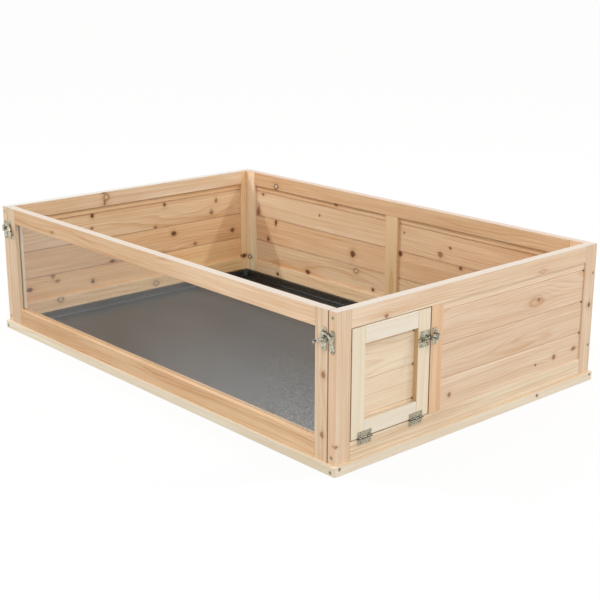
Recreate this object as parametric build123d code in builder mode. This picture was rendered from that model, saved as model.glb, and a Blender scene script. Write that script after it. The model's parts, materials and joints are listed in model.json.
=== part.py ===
from build123d import *
from math import cos, radians, sin, tan
import os

os.makedirs("parts", exist_ok=True)

# Driving sizes of the pen, in millimetres. X runs along the front, Y to the back, Z up.
wall_length = 1180.0
wall_depth = 769.0
wall_height = 290.5
plinth_height = 18.0

# Planed pine that the frames are made of
timber_thickness = 20.0
timber_width = 37.0
edge_break = 0.8

# Tongue-and-groove boards that fill the frames
board_thickness = 9.5
board_joint_shares = (0.28, 0.603, 0.926)
board_recess = 3.0
board_entry = 9.5
groove_depth = 10.0
groove_play = 0.1
tongue_length = 5.0
tongue_thickness = 3.0
tongue_play = 0.2
joint_bevel = 1.5
joint_gap = 0.3

# Levels and faces that most pieces share
half_length = wall_length / 2
half_depth = wall_depth / 2
inner_length = half_length - timber_thickness
inner_depth = half_depth - timber_thickness
top = plinth_height + wall_height
sill = plinth_height + timber_width
head = top - timber_width

# Each wall is drawn on its outer face: first number along it, second up, and out is towards the viewer
front_face = Plane(origin=(0, -half_depth, 0), x_dir=(1, 0, 0), z_dir=(0, -1, 0))
right_face = Plane(origin=(half_length, 0, 0), x_dir=(0, 1, 0), z_dir=(1, 0, 0))
back_face = Plane(origin=(0, half_depth, 0), x_dir=(-1, 0, 0), z_dir=(0, 1, 0))
left_face = Plane(origin=(-half_length, 0, 0), x_dir=(0, -1, 0), z_dir=(-1, 0, 0))


def save(name, piece):
    """Name one finished piece and write it."""
    piece.part.label = name
    export_step(piece.part, f"parts/{name}.step")


def on(face, along, up, out=0.0):
    """A plane at one place on a wall's face, for a screw or a fitting."""
    return Plane(origin=face.from_local_coords((along, up, out)), x_dir=face.x_dir, z_dir=face.z_dir)


def rectangle_on(box, margin=0.0):
    """Draw a box given as left, right, low and high, grown by a margin all round."""
    left, right, low, high = box
    with Locations(((left + right) / 2, (low + high) / 2)):
        Rectangle(right - left + 2 * margin, high - low + 2 * margin)


# Screws: sunk ones join the timber, and round-headed ones hold the fittings
sunk_radius = 2.0
sunk_head_radius = 4.0
sunk_length = 60.0
corner_length = 44.0
sunk_angle = 82.0
round_radius = 1.3
round_head_radius = 2.8
round_head_height = 1.1
round_crown_radius = 1.4
round_length = 9.0
screw_play = 0.1


def sunk_holes(places, length=sunk_length):
    """Countersunk holes for joining screws whose heads lie flush on the given planes."""
    with Locations(*places):
        CounterSinkHole(sunk_radius + screw_play, sunk_head_radius + screw_play,
                        depth=length + screw_play, counter_sink_angle=sunk_angle)


def pilot_holes(places):
    """Pilot holes for the fittings' screws."""
    with Locations(*places):
        Hole(round_radius + screw_play, depth=round_length + screw_play)


def sunk_screws(places, length=sunk_length):
    """Flat-headed screws."""
    head_depth = (sunk_head_radius - sunk_radius) / tan(radians(sunk_angle / 2))
    with Locations(*places):
        Cone(sunk_radius, sunk_head_radius, head_depth, align=(Align.CENTER, Align.CENTER, Align.MAX))
        Cylinder(sunk_radius, length, align=(Align.CENTER, Align.CENTER, Align.MAX))


def round_screws(places, grip):
    """Dome-headed screws through a fitting of the given thickness, which stands on the plane."""
    with Locations(*places):
        with Locations((0, 0, grip)):
            Cone(round_head_radius, round_crown_radius, round_head_height,
                 align=(Align.CENTER, Align.CENTER, Align.MIN))
            Cylinder(round_radius, grip + round_length, align=(Align.CENTER, Align.CENTER, Align.MAX))


def timber(name, face, box, grooves=(), sunk=(), corners=(), pilots=(), pegs=()):
    """A planed stick on a face: its long edges are broken, then it is grooved and bored."""
    with BuildPart() as piece:
        with BuildSketch(face):
            rectangle_on(box)
        extrude(amount=-timber_thickness)
        chamfer(piece.edges().group_by(SortBy.LENGTH)[-1], edge_break)
        for opening, recess, width, depth in grooves:
            with BuildSketch(face.offset(-recess)):
                rectangle_on(opening, depth)
            extrude(amount=-width, mode=Mode.SUBTRACT)
        if sunk:
            sunk_holes(sunk)
        if corners:
            sunk_holes(corners, corner_length)
        if pilots:
            pilot_holes(pilots)
        for spot in pegs:
            with Locations((*spot, box[2])):
                Cylinder(peg_radius + screw_play, peg_entry + screw_play, mode=Mode.SUBTRACT,
                         align=(Align.CENTER, Align.CENTER, Align.MIN))
    save(name, piece)


def course_edges(low, high, joint_shares):
    """Heights where the courses of boards end: in the groove below, at each joint, in the groove above."""
    joints = [low + (high - low) * share for share in joint_shares]
    return [low - board_entry, *joints, high + board_entry]


def board_outline(bottom, top_edge, thickness, grooved, tongued):
    """End view of a board, from its outer face inwards: bevels, a groove below and a tongue above."""
    shoulder = top_edge - joint_gap
    middle = thickness / 2
    slot = tongue_thickness / 2 + tongue_play
    tongue = tongue_thickness / 2
    slot_top = bottom + tongue_length + tongue_play
    points = [(0, bottom + joint_bevel), (joint_bevel, bottom)]
    if grooved:
        points += [(middle - slot, bottom), (middle - slot, slot_top),
                   (middle + slot, slot_top), (middle + slot, bottom)]
    points += [(thickness - joint_bevel, bottom), (thickness, bottom + joint_bevel),
               (thickness, shoulder - joint_bevel), (thickness - joint_bevel, shoulder)]
    if tongued:
        tip = shoulder + tongue_length
        points += [(middle + tongue, shoulder), (middle + tongue, tip),
                   (middle - tongue, tip), (middle - tongue, shoulder)]
    return points + [(joint_bevel, shoulder), (0, shoulder - joint_bevel)]


def lay_course(face, bay, edges, course, recess, thickness):
    """One board of a bay, run into the grooves at both ends."""
    left, right = bay[0] - board_entry, bay[1] + board_entry
    last = len(edges) - 2
    outline = board_outline(edges[course], edges[course + 1], thickness, course > 0, course < last)
    end = Plane(origin=face.from_local_coords((left, 0, -recess)), x_dir=-face.z_dir, z_dir=face.x_dir)
    with BuildSketch(end) as profile:
        with BuildLine():
            Polyline(*outline, close=True)
        make_face()
    extrude(profile.sketch, amount=right - left)


def wall_groove(bay):
    """The groove round a bay of the walls."""
    return bay, board_recess - groove_play, board_thickness + 2 * groove_play, groove_depth


# Joining screws: through the corner posts' edges into the rails, through the side walls into the back wall,
# and across the mitres of the plinth
edge_screw_drop = 12.0
edge_screw_rise = 13.5
corner_screw_inset = 8.5
corner_screw_heights_share = (0.22, 0.78)
plinth_reach = 7.3
plinth_width = 37.0
mitre_screw_inset = 12.0
mitre_side_share = 0.75
mitre_front_share = 0.36

edge_middle = half_length - timber_thickness / 2
edge_heights = (plinth_height + edge_screw_rise, top - edge_screw_drop)
corner_heights = [plinth_height + wall_height * share for share in corner_screw_heights_share]
right_edge_screws = [on(front_face, edge_middle, up) for up in edge_heights]
right_edge_screws += [on(back_face, -edge_middle, up) for up in edge_heights]
left_edge_screws = [on(front_face, -edge_middle, up) for up in edge_heights]
left_edge_screws += [on(back_face, edge_middle, up) for up in edge_heights]
right_corner_screws = [on(right_face, half_depth - corner_screw_inset, up) for up in corner_heights]
left_corner_screws = [on(left_face, corner_screw_inset - half_depth, up) for up in corner_heights]

mitre_screws = []
for side in (-1, 1):
    across = side * (half_length + plinth_reach - mitre_screw_inset)
    back = side * (half_depth + plinth_reach - mitre_screw_inset)
    mitre_screws.append(on(front_face, across, plinth_height * mitre_front_share, plinth_reach))
    mitre_screws.append(on(back_face, across, plinth_height * mitre_front_share, plinth_reach))
    mitre_screws.append(on(right_face, back, plinth_height * mitre_side_share, plinth_reach))
    mitre_screws.append(on(left_face, back, plinth_height * mitre_side_share, plinth_reach))

with BuildPart() as frame_screws:
    sunk_screws(right_edge_screws + left_edge_screws + mitre_screws)
    sunk_screws(right_corner_screws + left_corner_screws, corner_length)
save("frame_screws", frame_screws)

# Plinth: four strips, mitred at the corners, with a groove inside for the thin bottom sheet
plinth_corner = 5.0
sheet_thickness = 4.0
sheet_height = 4.0
sheet_entry = 5.5
sheet_groove_depth = 6.0
peg_radius = 4.0
peg_length = 30.0
peg_entry = 20.0
peg_inset = 90.0
peg_play = 0.3

plinth_x = half_length + plinth_reach
plinth_y = half_depth + plinth_reach
peg_spots = [(side * (half_length - peg_inset), timber_thickness / 2 - half_depth) for side in (-1, 1)]


def plinth_strip(name, turn, run, reach, pegs=()):
    """One mitred strip: run is half its outer length, reach is its outer face from the middle."""
    with BuildPart() as strip:
        with BuildSketch(Plane.XY.rotated((0, 0, turn))):
            with BuildLine():
                Polyline((-run, -reach), (run, -reach), (run - plinth_width, plinth_width - reach),
                         (plinth_width - run, plinth_width - reach), close=True)
            make_face()
            RectangleRounded(2 * run, 2 * reach, plinth_corner, mode=Mode.INTERSECT)
        extrude(amount=plinth_height)
        with BuildSketch(Plane.XY.offset(sheet_height - groove_play)):
            Rectangle(2 * (plinth_x - plinth_width + sheet_groove_depth),
                      2 * (plinth_y - plinth_width + sheet_groove_depth))
        extrude(amount=sheet_thickness + 2 * groove_play, mode=Mode.SUBTRACT)
        sunk_holes(mitre_screws)
        for spot in pegs:
            with Locations((*spot, plinth_height)):
                Hole(peg_radius + peg_play, depth=peg_length - peg_entry + peg_play)
    save(name, strip)


plinth_strip("plinth_front", 0, plinth_x, plinth_y, peg_spots)
plinth_strip("plinth_right", 90, plinth_y, plinth_x)
plinth_strip("plinth_back", 180, plinth_x, plinth_y)
plinth_strip("plinth_left", 270, plinth_y, plinth_x)

with BuildPart() as base_sheet:
    with BuildSketch(Plane.XY.offset(sheet_height)):
        Rectangle(2 * (plinth_x - plinth_width + sheet_entry), 2 * (plinth_y - plinth_width + sheet_entry))
    extrude(amount=sheet_thickness)
save("base_sheet", base_sheet)

# Twist latches at the ends of the front panel, worked out from the pivot of the right one
latch_inset = 11.0
latch_drop = 54.5
latch_plate_length = 44.0
latch_plate_width = 13.0
latch_plate_thickness = 1.5
latch_dish_radius = 9.2
latch_dish_height = 1.2
latch_dish_slope = 45.0
latch_screw_spread = 34.0
claw_stand = 3.0
claw_thickness = 2.2
claw_reach = 23.5
claw_hub_radius = 7.8
claw_angles = (180, 135, 90, 60, 30, 8, -8)
claw_outer_shares = (0.34, 0.47, 0.57, 0.67, 0.83, 0.96, 1.0)
claw_inner_angles = (-8, 8, 30, 60, 90)
claw_inner_shares = (0.80, 0.75, 0.61, 0.45, 0.33)
lever_length = 19.5
lever_width = 7.0
lever_thickness = 2.0
lever_angle = 205
lever_grip_radius = 3.2
lever_grip_height = 3.5
lever_grip_slope = 8.0
rivet_radius = 2.5
rivet_play = 0.3
rivet_head_radius = 4.4
rivet_head_height = 1.8
rivet_head_slope = 40.0
catch_length = 14.0
catch_height = 43.0
catch_drop = 2.0
catch_inset = 3.0
catch_wall = 2.0
catch_hook_height = 14.0
catch_hook_rise = 2.0
catch_lip = 7.5
catch_lip_thickness = 1.2
catch_play = 0.5
catch_screw_spread = 36.0

latch_x = inner_length - latch_inset
latch_z = top - latch_drop
latch_screws = [on(front_face, latch_x, latch_z + up)
                for up in (-latch_screw_spread / 2, latch_screw_spread / 2)]
catch_right = half_length - catch_inset
catch_middle = catch_right - catch_length / 2
catch_z = latch_z - catch_drop
catch_screws = [on(front_face, catch_middle, catch_z + up)
                for up in (-catch_screw_spread / 2, catch_screw_spread / 2)]


def mirrored(places):
    """The same places on the left half of the front."""
    return [on(front_face, -place.origin.X, place.origin.Z) for place in places]


# Left wall: one long bay
side_end = half_depth - timber_width
left_bay = (-side_end, side_end, sill, head)
timber("left_front_stile", left_face, (side_end, half_depth, plinth_height, top),
       [wall_groove(left_bay)], sunk=left_edge_screws, pilots=mirrored(catch_screws))
timber("left_rear_stile", left_face, (-half_depth, -side_end, plinth_height, top),
       [wall_groove(left_bay)], sunk=left_edge_screws, corners=left_corner_screws)
timber("left_top_rail", left_face, (-side_end, side_end, head, top), [wall_groove(left_bay)],
       sunk=left_edge_screws)
timber("left_bottom_rail", left_face, (-side_end, side_end, plinth_height, sill),
       [wall_groove(left_bay)], sunk=left_edge_screws)

wall_edges = course_edges(sill, head, board_joint_shares)
for course in range(len(wall_edges) - 1):
    with BuildPart() as left_board:
        lay_course(left_face, left_bay, wall_edges, course, board_recess, board_thickness)
    save(f"left_board_{course + 1}", left_board)

# Back wall: two bays with a muntin between them
muntin_width = 41.0
back_end = inner_length - timber_width
back_bays = [(muntin_width / 2, back_end, sill, head), (-back_end, -muntin_width / 2, sill, head)]
back_grooves = [wall_groove(bay) for bay in back_bays]
timber("back_left_stile", back_face, (back_end, inner_length, plinth_height, top), back_grooves,
       corners=left_corner_screws)
timber("back_right_stile", back_face, (-inner_length, -back_end, plinth_height, top), back_grooves,
       corners=right_corner_screws)
timber("back_muntin", back_face, (-muntin_width / 2, muntin_width / 2, sill, head), back_grooves)
timber("back_top_rail", back_face, (-back_end, back_end, head, top), back_grooves)
timber("back_bottom_rail", back_face, (-back_end, back_end, plinth_height, sill), back_grooves)
for course in range(len(wall_edges) - 1):
    with BuildPart() as back_board:
        for bay in back_bays:
            lay_course(back_face, bay, wall_edges, course, board_recess, board_thickness)
    save(f"back_board_{course + 1}", back_board)

# Door: its opening lies between the front post and the middle stile of the right wall
door_opening = 209.5
middle_stile_width = 34.0
door_gap = 1.5
door_head_gap = 1.7
door_sill_gap = 2.0
door_timber_width = 34.0
door_bottom_rail_width = 32.5
door_board_recess = 9.5
door_board_thickness = 8.0
door_joint_shares = (0.037, 0.498, 0.959)

opening_left = -side_end
opening_right = opening_left + door_opening
door_left = opening_left + door_gap
door_right = opening_right - door_gap
door_low = sill + door_sill_gap
door_high = head - door_head_gap
door_middle = (door_left + door_right) / 2
door_bay = (door_left + door_timber_width, door_right - door_timber_width,
            door_low + door_bottom_rail_width, door_high - door_timber_width)

# Butt hinges on the outer faces, with the pin over the gap below the door
hinge_length = 36.0
hinge_leaf = 12.0
hinge_thickness = 1.2
hinge_spread = 137.0
knuckle_radius = 2.1
knuckle_stand = 0.3
knuckle_gap = 0.3
hinge_pin_radius = 1.0
hinge_pin_play = 0.2
hinge_screw_spread = 23.0
hinge_screw_rise = 7.6
knuckle_clear = 0.4

pin_height = (sill + door_low) / 2
pin_out = knuckle_radius + knuckle_stand
hinge_places = [door_middle - hinge_spread / 2, door_middle + hinge_spread / 2]
leaf_screws = {side: [on(right_face, place + shift, pin_height + side * hinge_screw_rise)
                      for place in hinge_places
                      for shift in (-hinge_screw_spread / 2, hinge_screw_spread / 2)]
               for side in (-1, 1)}

# Barrel bolt on the door's rear stile, and the staple that it shoots into
bolt_drop = 58.3
bolt_plate_length = 27.0
bolt_plate_height = 31.0
bolt_plate_inset = 2.0
fitting_thickness = 1.2
bolt_radius = 3.0
bolt_bevel = 1.0
bolt_play = 0.3
bolt_length = 36.0
bolt_tip_inset = 1.0
guide_width = 4.0
guide_wall = 1.8
knob_stem_radius = 1.5
knob_radius = 3.4
knob_stand = 3.4
knob_height = 6.0
knob_flare = 1.4
knob_crown = 1.4
bolt_screw_spread = 18.5
bolt_screw_drop = 11.8
keeper_length = 13.0
keeper_height = 33.0
keeper_gap = 4.0
staple_width = 8.0
staple_room = 8.0
staple_wall = 1.6
keeper_screw_drop = 12.5

bolt_height = door_high - bolt_drop
bolt_middle = door_right - bolt_plate_inset - bolt_plate_length / 2
bolt_out = fitting_thickness + bolt_play + bolt_radius
bolt_keeper_middle = opening_right + keeper_gap + keeper_length / 2
bolt_screws = [on(right_face, bolt_middle + along, bolt_height + up)
               for along in (-bolt_screw_spread / 2, bolt_screw_spread / 2)
               for up in (-bolt_screw_drop, bolt_screw_drop)]
keeper_screws = [on(right_face, bolt_keeper_middle, bolt_height + up)
                 for up in (-keeper_screw_drop, keeper_screw_drop)]

# Right wall: front post, door opening, middle stile, one boarded bay, rear stile
right_bay = (opening_right + middle_stile_width, side_end, sill, head)
right_groove = [wall_groove(right_bay)]

timber("right_front_post", right_face, (-half_depth, opening_left, plinth_height, top),
       sunk=right_edge_screws, pilots=catch_screws)
timber("right_middle_stile", right_face, (opening_right, right_bay[0], sill, head), right_groove,
       pilots=keeper_screws)
timber("right_rear_stile", right_face, (side_end, half_depth, plinth_height, top), right_groove,
       sunk=right_edge_screws, corners=right_corner_screws)
timber("right_top_rail", right_face, (-side_end, side_end, head, top), right_groove,
       sunk=right_edge_screws)
timber("right_bottom_rail", right_face, (-side_end, side_end, plinth_height, sill), right_groove,
       sunk=right_edge_screws, pilots=leaf_screws[-1])
for course in range(len(wall_edges) - 1):
    with BuildPart() as right_board:
        lay_course(right_face, right_bay, wall_edges, course, board_recess, board_thickness)
    save(f"right_board_{course + 1}", right_board)

# Door frame and its boards
door_groove = [(door_bay, door_board_recess - groove_play, door_board_thickness + 2 * groove_play,
                groove_depth)]
timber("door_front_stile", right_face, (door_left, door_bay[0], door_low, door_high), door_groove,
       pilots=leaf_screws[1])
timber("door_rear_stile", right_face, (door_bay[1], door_right, door_low, door_high), door_groove,
       pilots=leaf_screws[1] + bolt_screws)
timber("door_top_rail", right_face, (door_bay[0], door_bay[1], door_bay[3], door_high), door_groove)
timber("door_bottom_rail", right_face, (door_bay[0], door_bay[1], door_low, door_bay[2]),
       door_groove, pilots=leaf_screws[1])
door_edges = course_edges(door_bay[2], door_bay[3], door_joint_shares)
with BuildPart() as door_boards:
    for course in range(len(door_edges) - 1):
        lay_course(right_face, door_bay, door_edges, course, door_board_recess, door_board_thickness)
save("door_boards", door_boards)


def hinge_leaf_pair(name, side, knuckles):
    """The leaves on one side of the pins, side 1 above and -1 below, with the knuckles that they carry."""
    knuckle = hinge_length / 3
    with BuildPart() as leaves:
        for place in hinge_places:
            edge = knuckle_radius + knuckle_clear
            with BuildSketch(right_face):
                with Locations((place, pin_height + side * (edge + hinge_leaf) / 2)):
                    Rectangle(hinge_length, hinge_leaf - edge)
                for step in knuckles:
                    with Locations((place + step * knuckle, pin_height + side * edge / 2)):
                        Rectangle(knuckle - knuckle_gap, edge)
            extrude(amount=hinge_thickness)
            for step in knuckles:
                start = place + step * knuckle - (knuckle - knuckle_gap) / 2
                centre = right_face.from_local_coords((start, pin_height, pin_out))
                with BuildSketch(Plane(origin=centre, x_dir=right_face.z_dir, z_dir=right_face.x_dir)):
                    Circle(knuckle_radius)
                extrude(amount=knuckle - knuckle_gap)
            bore_start = right_face.from_local_coords((place - hinge_length, pin_height, pin_out))
            with BuildSketch(Plane(origin=bore_start, x_dir=right_face.z_dir, z_dir=right_face.x_dir)):
                Circle(hinge_pin_radius + hinge_pin_play)
            extrude(amount=2 * hinge_length, mode=Mode.SUBTRACT)
        with Locations(*[on(right_face, place.origin.Y, place.origin.Z, hinge_thickness)
                         for place in leaf_screws[side]]):
            Hole(round_radius + screw_play, depth=hinge_thickness)
    save(name, leaves)


hinge_leaf_pair("door_hinge_leaves", 1, (0,))
hinge_leaf_pair("frame_hinge_leaves", -1, (-1, 1))

with BuildPart() as hinge_pins:
    for place in hinge_places:
        start = right_face.from_local_coords((place - hinge_length / 2, pin_height, pin_out))
        with BuildSketch(Plane(origin=start, x_dir=right_face.z_dir, z_dir=right_face.x_dir)):
            Circle(hinge_pin_radius)
        extrude(amount=hinge_length)
save("hinge_pins", hinge_pins)


def plate_on_door_side(middle, length, height, places):
    """A thin stamped plate with rounded corners and screw holes."""
    with BuildSketch(right_face) as profile:
        with Locations((middle, bolt_height)):
            RectangleRounded(length, height, fitting_thickness)
    extrude(profile.sketch, amount=fitting_thickness)
    with Locations(*[on(right_face, place.origin.Y, place.origin.Z, fitting_thickness) for place in places]):
        Hole(round_radius + screw_play, depth=fitting_thickness)


def end_plane(along):
    """A plane square to the bolt, with its first axis out from the wall and its second one down."""
    centre = right_face.from_local_coords((along, bolt_height, bolt_out))
    return Plane(origin=centre, x_dir=right_face.z_dir, z_dir=right_face.x_dir)


with BuildPart() as bolt_plate:
    plate_on_door_side(bolt_middle, bolt_plate_length, bolt_plate_height, bolt_screws)
    for start in (bolt_middle - bolt_plate_length / 2, bolt_middle + bolt_plate_length / 2 - guide_width):
        with BuildSketch(end_plane(start)):
            Circle(bolt_radius + bolt_play + guide_wall)
            with Locations((fitting_thickness - bolt_out, 0)):
                Rectangle(bolt_out - fitting_thickness, 2 * (bolt_radius + bolt_play + guide_wall),
                          align=(Align.MIN, Align.CENTER))
            with Locations((fitting_thickness - bolt_out, 0)):
                Rectangle(bolt_out, 2 * bolt_out + 2 * guide_wall, align=(Align.MAX, Align.CENTER),
                          mode=Mode.SUBTRACT)
            Circle(bolt_radius + bolt_play, mode=Mode.SUBTRACT)
        extrude(amount=guide_width)
save("bolt_plate", bolt_plate)

bolt_tip = door_right - bolt_tip_inset
knob_along = bolt_middle - bolt_plate_length / 2 + guide_width + knob_stem_radius + 2 * bolt_play
with BuildPart() as door_bolt:
    with BuildSketch(end_plane(bolt_tip - bolt_length)):
        Circle(bolt_radius)
    extrude(amount=bolt_length)
    chamfer(door_bolt.edges().filter_by(GeomType.CIRCLE), bolt_bevel)
    knob_root = right_face.from_local_coords((knob_along, bolt_height, bolt_out))
    knob_base = bolt_radius + knob_stand
    with BuildSketch(Plane(origin=knob_root, x_dir=right_face.x_dir, z_dir=-right_face.y_dir)):
        with BuildLine():
            Polyline((0, 0), (knob_stem_radius, 0), (knob_stem_radius, knob_base),
                     (knob_radius, knob_base + knob_flare),
                     (knob_radius, knob_base + knob_height - knob_crown))
            RadiusArc((knob_radius, knob_base + knob_height - knob_crown), (0, knob_base + knob_height),
                      -(knob_radius ** 2 + knob_crown ** 2) / (2 * knob_crown))
            Line((0, knob_base + knob_height), (0, 0))
        make_face()
    revolve(axis=Axis(knob_root, right_face.z_dir))
save("door_bolt", door_bolt)

with BuildPart() as bolt_keeper:
    plate_on_door_side(bolt_keeper_middle, keeper_length, keeper_height, keeper_screws)
    with BuildSketch(end_plane(bolt_keeper_middle - staple_width / 2)):
        with Locations((fitting_thickness - bolt_out, 0)):
            Rectangle(staple_room + staple_wall, staple_room + 2 * staple_wall,
                      align=(Align.MIN, Align.CENTER))
            Rectangle(staple_room, staple_room, align=(Align.MIN, Align.CENTER), mode=Mode.SUBTRACT)
    extrude(amount=staple_width)
save("bolt_keeper", bolt_keeper)

with BuildPart() as door_screws:
    round_screws(leaf_screws[1], hinge_thickness)
    round_screws(bolt_screws, fitting_thickness)
save("door_screws", door_screws)

with BuildPart() as hardware_screws:
    round_screws(leaf_screws[-1], hinge_thickness)
    round_screws(keeper_screws, fitting_thickness)
    round_screws(catch_screws + mirrored(catch_screws), latch_plate_thickness)
save("hardware_screws", hardware_screws)

# Front panel: a light frame with a clear pane let into a groove at its middle
panel_gap = 1.5
panel_stile_width = 34.0
panel_top_rail_width = 37.0
panel_bottom_rail_width = 39.5
pane_recess = 9.3
pane_thickness = 2.0
pane_entry = 7.5
pane_groove_depth = 8.0

panel_end = inner_length - panel_gap
window = (panel_stile_width - panel_end, panel_end - panel_stile_width,
          plinth_height + panel_bottom_rail_width, top - panel_top_rail_width)
pane_groove = [(window, pane_recess - groove_play, pane_thickness + 2 * groove_play, pane_groove_depth)]
timber("panel_left_stile", front_face, (-panel_end, window[0], plinth_height, top), pane_groove,
       pilots=mirrored(latch_screws))
timber("panel_right_stile", front_face, (window[1], panel_end, plinth_height, top), pane_groove,
       pilots=latch_screws)
timber("panel_top_rail", front_face, (window[0], window[1], window[3], top), pane_groove)
timber("panel_bottom_rail", front_face, (window[0], window[1], plinth_height, window[2]), pane_groove,
       pegs=peg_spots)

with BuildPart() as window_pane:
    with BuildSketch(front_face.offset(-pane_recess)):
        rectangle_on(window, pane_entry)
    extrude(amount=-pane_thickness)
save("window_pane", window_pane)

with BuildPart() as panel_pegs:
    with Locations(*[(*spot, plinth_height + peg_entry) for spot in peg_spots]):
        Cylinder(peg_radius, peg_length, align=(Align.CENTER, Align.CENTER, Align.MAX))
    chamfer(panel_pegs.edges().filter_by(GeomType.CIRCLE), edge_break)
save("panel_pegs", panel_pegs)


def polar_points(angles, shares):
    """Points of the claw's edge round its pivot, as shares of its reach."""
    return [(claw_reach * share * cos(radians(angle)), claw_reach * share * sin(radians(angle)))
            for angle, share in zip(angles, shares)]


latch_face = on(front_face, latch_x, latch_z)
with BuildPart() as right_latch_plate:
    with BuildSketch(latch_face):
        SlotOverall(latch_plate_length, latch_plate_width, rotation=90)
        Circle(latch_dish_radius)
    extrude(amount=latch_plate_thickness)
    with BuildSketch(latch_face.offset(latch_plate_thickness)):
        Circle(latch_dish_radius - latch_plate_thickness)
    extrude(amount=latch_dish_height, taper=latch_dish_slope)
    with Locations(latch_face.offset(latch_plate_thickness + latch_dish_height)):
        Hole(rivet_radius + rivet_play, depth=latch_plate_thickness + latch_dish_height)
    with Locations(*[on(front_face, place.origin.X, place.origin.Z, latch_plate_thickness)
                     for place in latch_screws]):
        Hole(round_radius + screw_play, depth=latch_plate_thickness)
save("right_latch_plate", right_latch_plate)

with BuildPart() as right_latch_claw:
    with BuildSketch(latch_face.offset(claw_stand)):
        Circle(claw_hub_radius)
        with BuildLine():
            outer = Spline(*polar_points(claw_angles, claw_outer_shares))
            inner = Spline(*polar_points(claw_inner_angles, claw_inner_shares))
            Line(outer @ 1, inner @ 0)
            Line(inner @ 1, outer @ 0)
        make_face()
    extrude(amount=claw_thickness)
    with BuildSketch(latch_face.offset(claw_stand + claw_thickness)):
        with Locations(Rotation(0, 0, lever_angle)):
            SlotCenterPoint((lever_length / 2, 0), (lever_length, 0), lever_width)
    extrude(amount=lever_thickness)
    grip = (lever_length * cos(radians(lever_angle)), lever_length * sin(radians(lever_angle)))
    with BuildSketch(latch_face.offset(claw_stand + claw_thickness + lever_thickness)):
        with Locations(grip):
            Circle(lever_grip_radius)
    extrude(amount=lever_grip_height, taper=lever_grip_slope)
    with BuildSketch(latch_face.offset(claw_stand + claw_thickness + lever_thickness)):
        Circle(rivet_head_radius)
    extrude(amount=rivet_head_height, taper=rivet_head_slope)
    with BuildSketch(latch_face.offset(rivet_play)):
        Circle(rivet_radius)
    extrude(amount=claw_stand)
save("right_latch_claw", right_latch_claw)

with BuildPart() as right_latch_keeper:
    with BuildSketch(front_face):
        with Locations((catch_middle, catch_z)):
            SlotOverall(catch_height, catch_length, rotation=90)
    extrude(amount=latch_plate_thickness)
    lip_out = claw_stand + claw_thickness + catch_play
    hook_z = latch_z + catch_hook_rise
    with BuildSketch(front_face.offset(latch_plate_thickness)):
        with Locations((catch_right - catch_wall, hook_z)):
            Rectangle(catch_wall, catch_hook_height, align=(Align.MAX, Align.CENTER))
    extrude(amount=lip_out + catch_lip_thickness - latch_plate_thickness)
    with BuildSketch(front_face.offset(lip_out)):
        with Locations((catch_right - catch_wall, hook_z)):
            Rectangle(catch_lip, catch_hook_height, align=(Align.MAX, Align.CENTER))
    extrude(amount=catch_lip_thickness)
    with Locations(*[on(front_face, place.origin.X, place.origin.Z, latch_plate_thickness)
                     for place in catch_screws]):
        Hole(round_radius + screw_play, depth=latch_plate_thickness)
save("right_latch_keeper", right_latch_keeper)

for right_name, right_piece in (("right_latch_plate", right_latch_plate),
                                ("right_latch_claw", right_latch_claw),
                                ("right_latch_keeper", right_latch_keeper)):
    with BuildPart() as left_piece:
        mirror(right_piece.part, about=Plane.YZ)
    save(right_name.replace("right", "left"), left_piece)

with BuildPart() as panel_screws:
    round_screws(latch_screws + mirrored(latch_screws), latch_plate_thickness)
save("panel_screws", panel_screws)

# Tray: a shallow moulding that stands on the bottom sheet, its turned-down rim lapping over the plinth
tray_gap = 4.0
tray_thickness = 2.0
tray_rim_height = 26.0
tray_rim_width = 10.0
tray_rim_corner = 8.0
tray_corner = 14.0
tray_draft = 17.0
tray_floor_fillet = 5.0
tray_seat_gap = 0.3

tray_x = inner_length - tray_gap
tray_y = inner_depth - tray_gap
tray_floor = sheet_height + sheet_thickness
rim_low = plinth_height + tray_seat_gap
well_depth = tray_rim_height - tray_floor - tray_thickness
with BuildPart() as tray:
    with BuildSketch(Plane.XY.offset(tray_rim_height)):
        RectangleRounded(2 * tray_x, 2 * tray_y, tray_rim_corner)
    extrude(amount=rim_low - tray_rim_height)
    fillet(tray.faces().sort_by(Axis.Z)[-1].edges(), tray_thickness)
    with BuildSketch(Plane.XY.offset(rim_low)):
        RectangleRounded(2 * (tray_x - tray_thickness), 2 * (tray_y - tray_thickness),
                         tray_rim_corner - tray_thickness)
    extrude(amount=tray_rim_height - tray_thickness - rim_low, mode=Mode.SUBTRACT)
    with BuildSketch(Plane.XY.offset(tray_rim_height - tray_thickness)):
        RectangleRounded(2 * (tray_x - tray_rim_width + tray_thickness),
                         2 * (tray_y - tray_rim_width + tray_thickness), tray_corner + tray_thickness)
    extrude(amount=tray_floor + tray_thickness - tray_rim_height, taper=tray_draft)
    with BuildSketch(Plane.XY.offset(tray_rim_height)):
        RectangleRounded(2 * (tray_x - tray_rim_width), 2 * (tray_y - tray_rim_width), tray_corner)
    extrude(amount=-well_depth, taper=tray_draft, mode=Mode.SUBTRACT)
    floor_edges = tray.faces().filter_by(Axis.Z).group_by(Axis.Z)[1].sort_by(SortBy.AREA)[-1].edges()
    fillet(floor_edges, tray_floor_fillet)
save("tray", tray)
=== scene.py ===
import json
import math
import random

import bpy
from mathutils import Matrix, Vector

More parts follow.
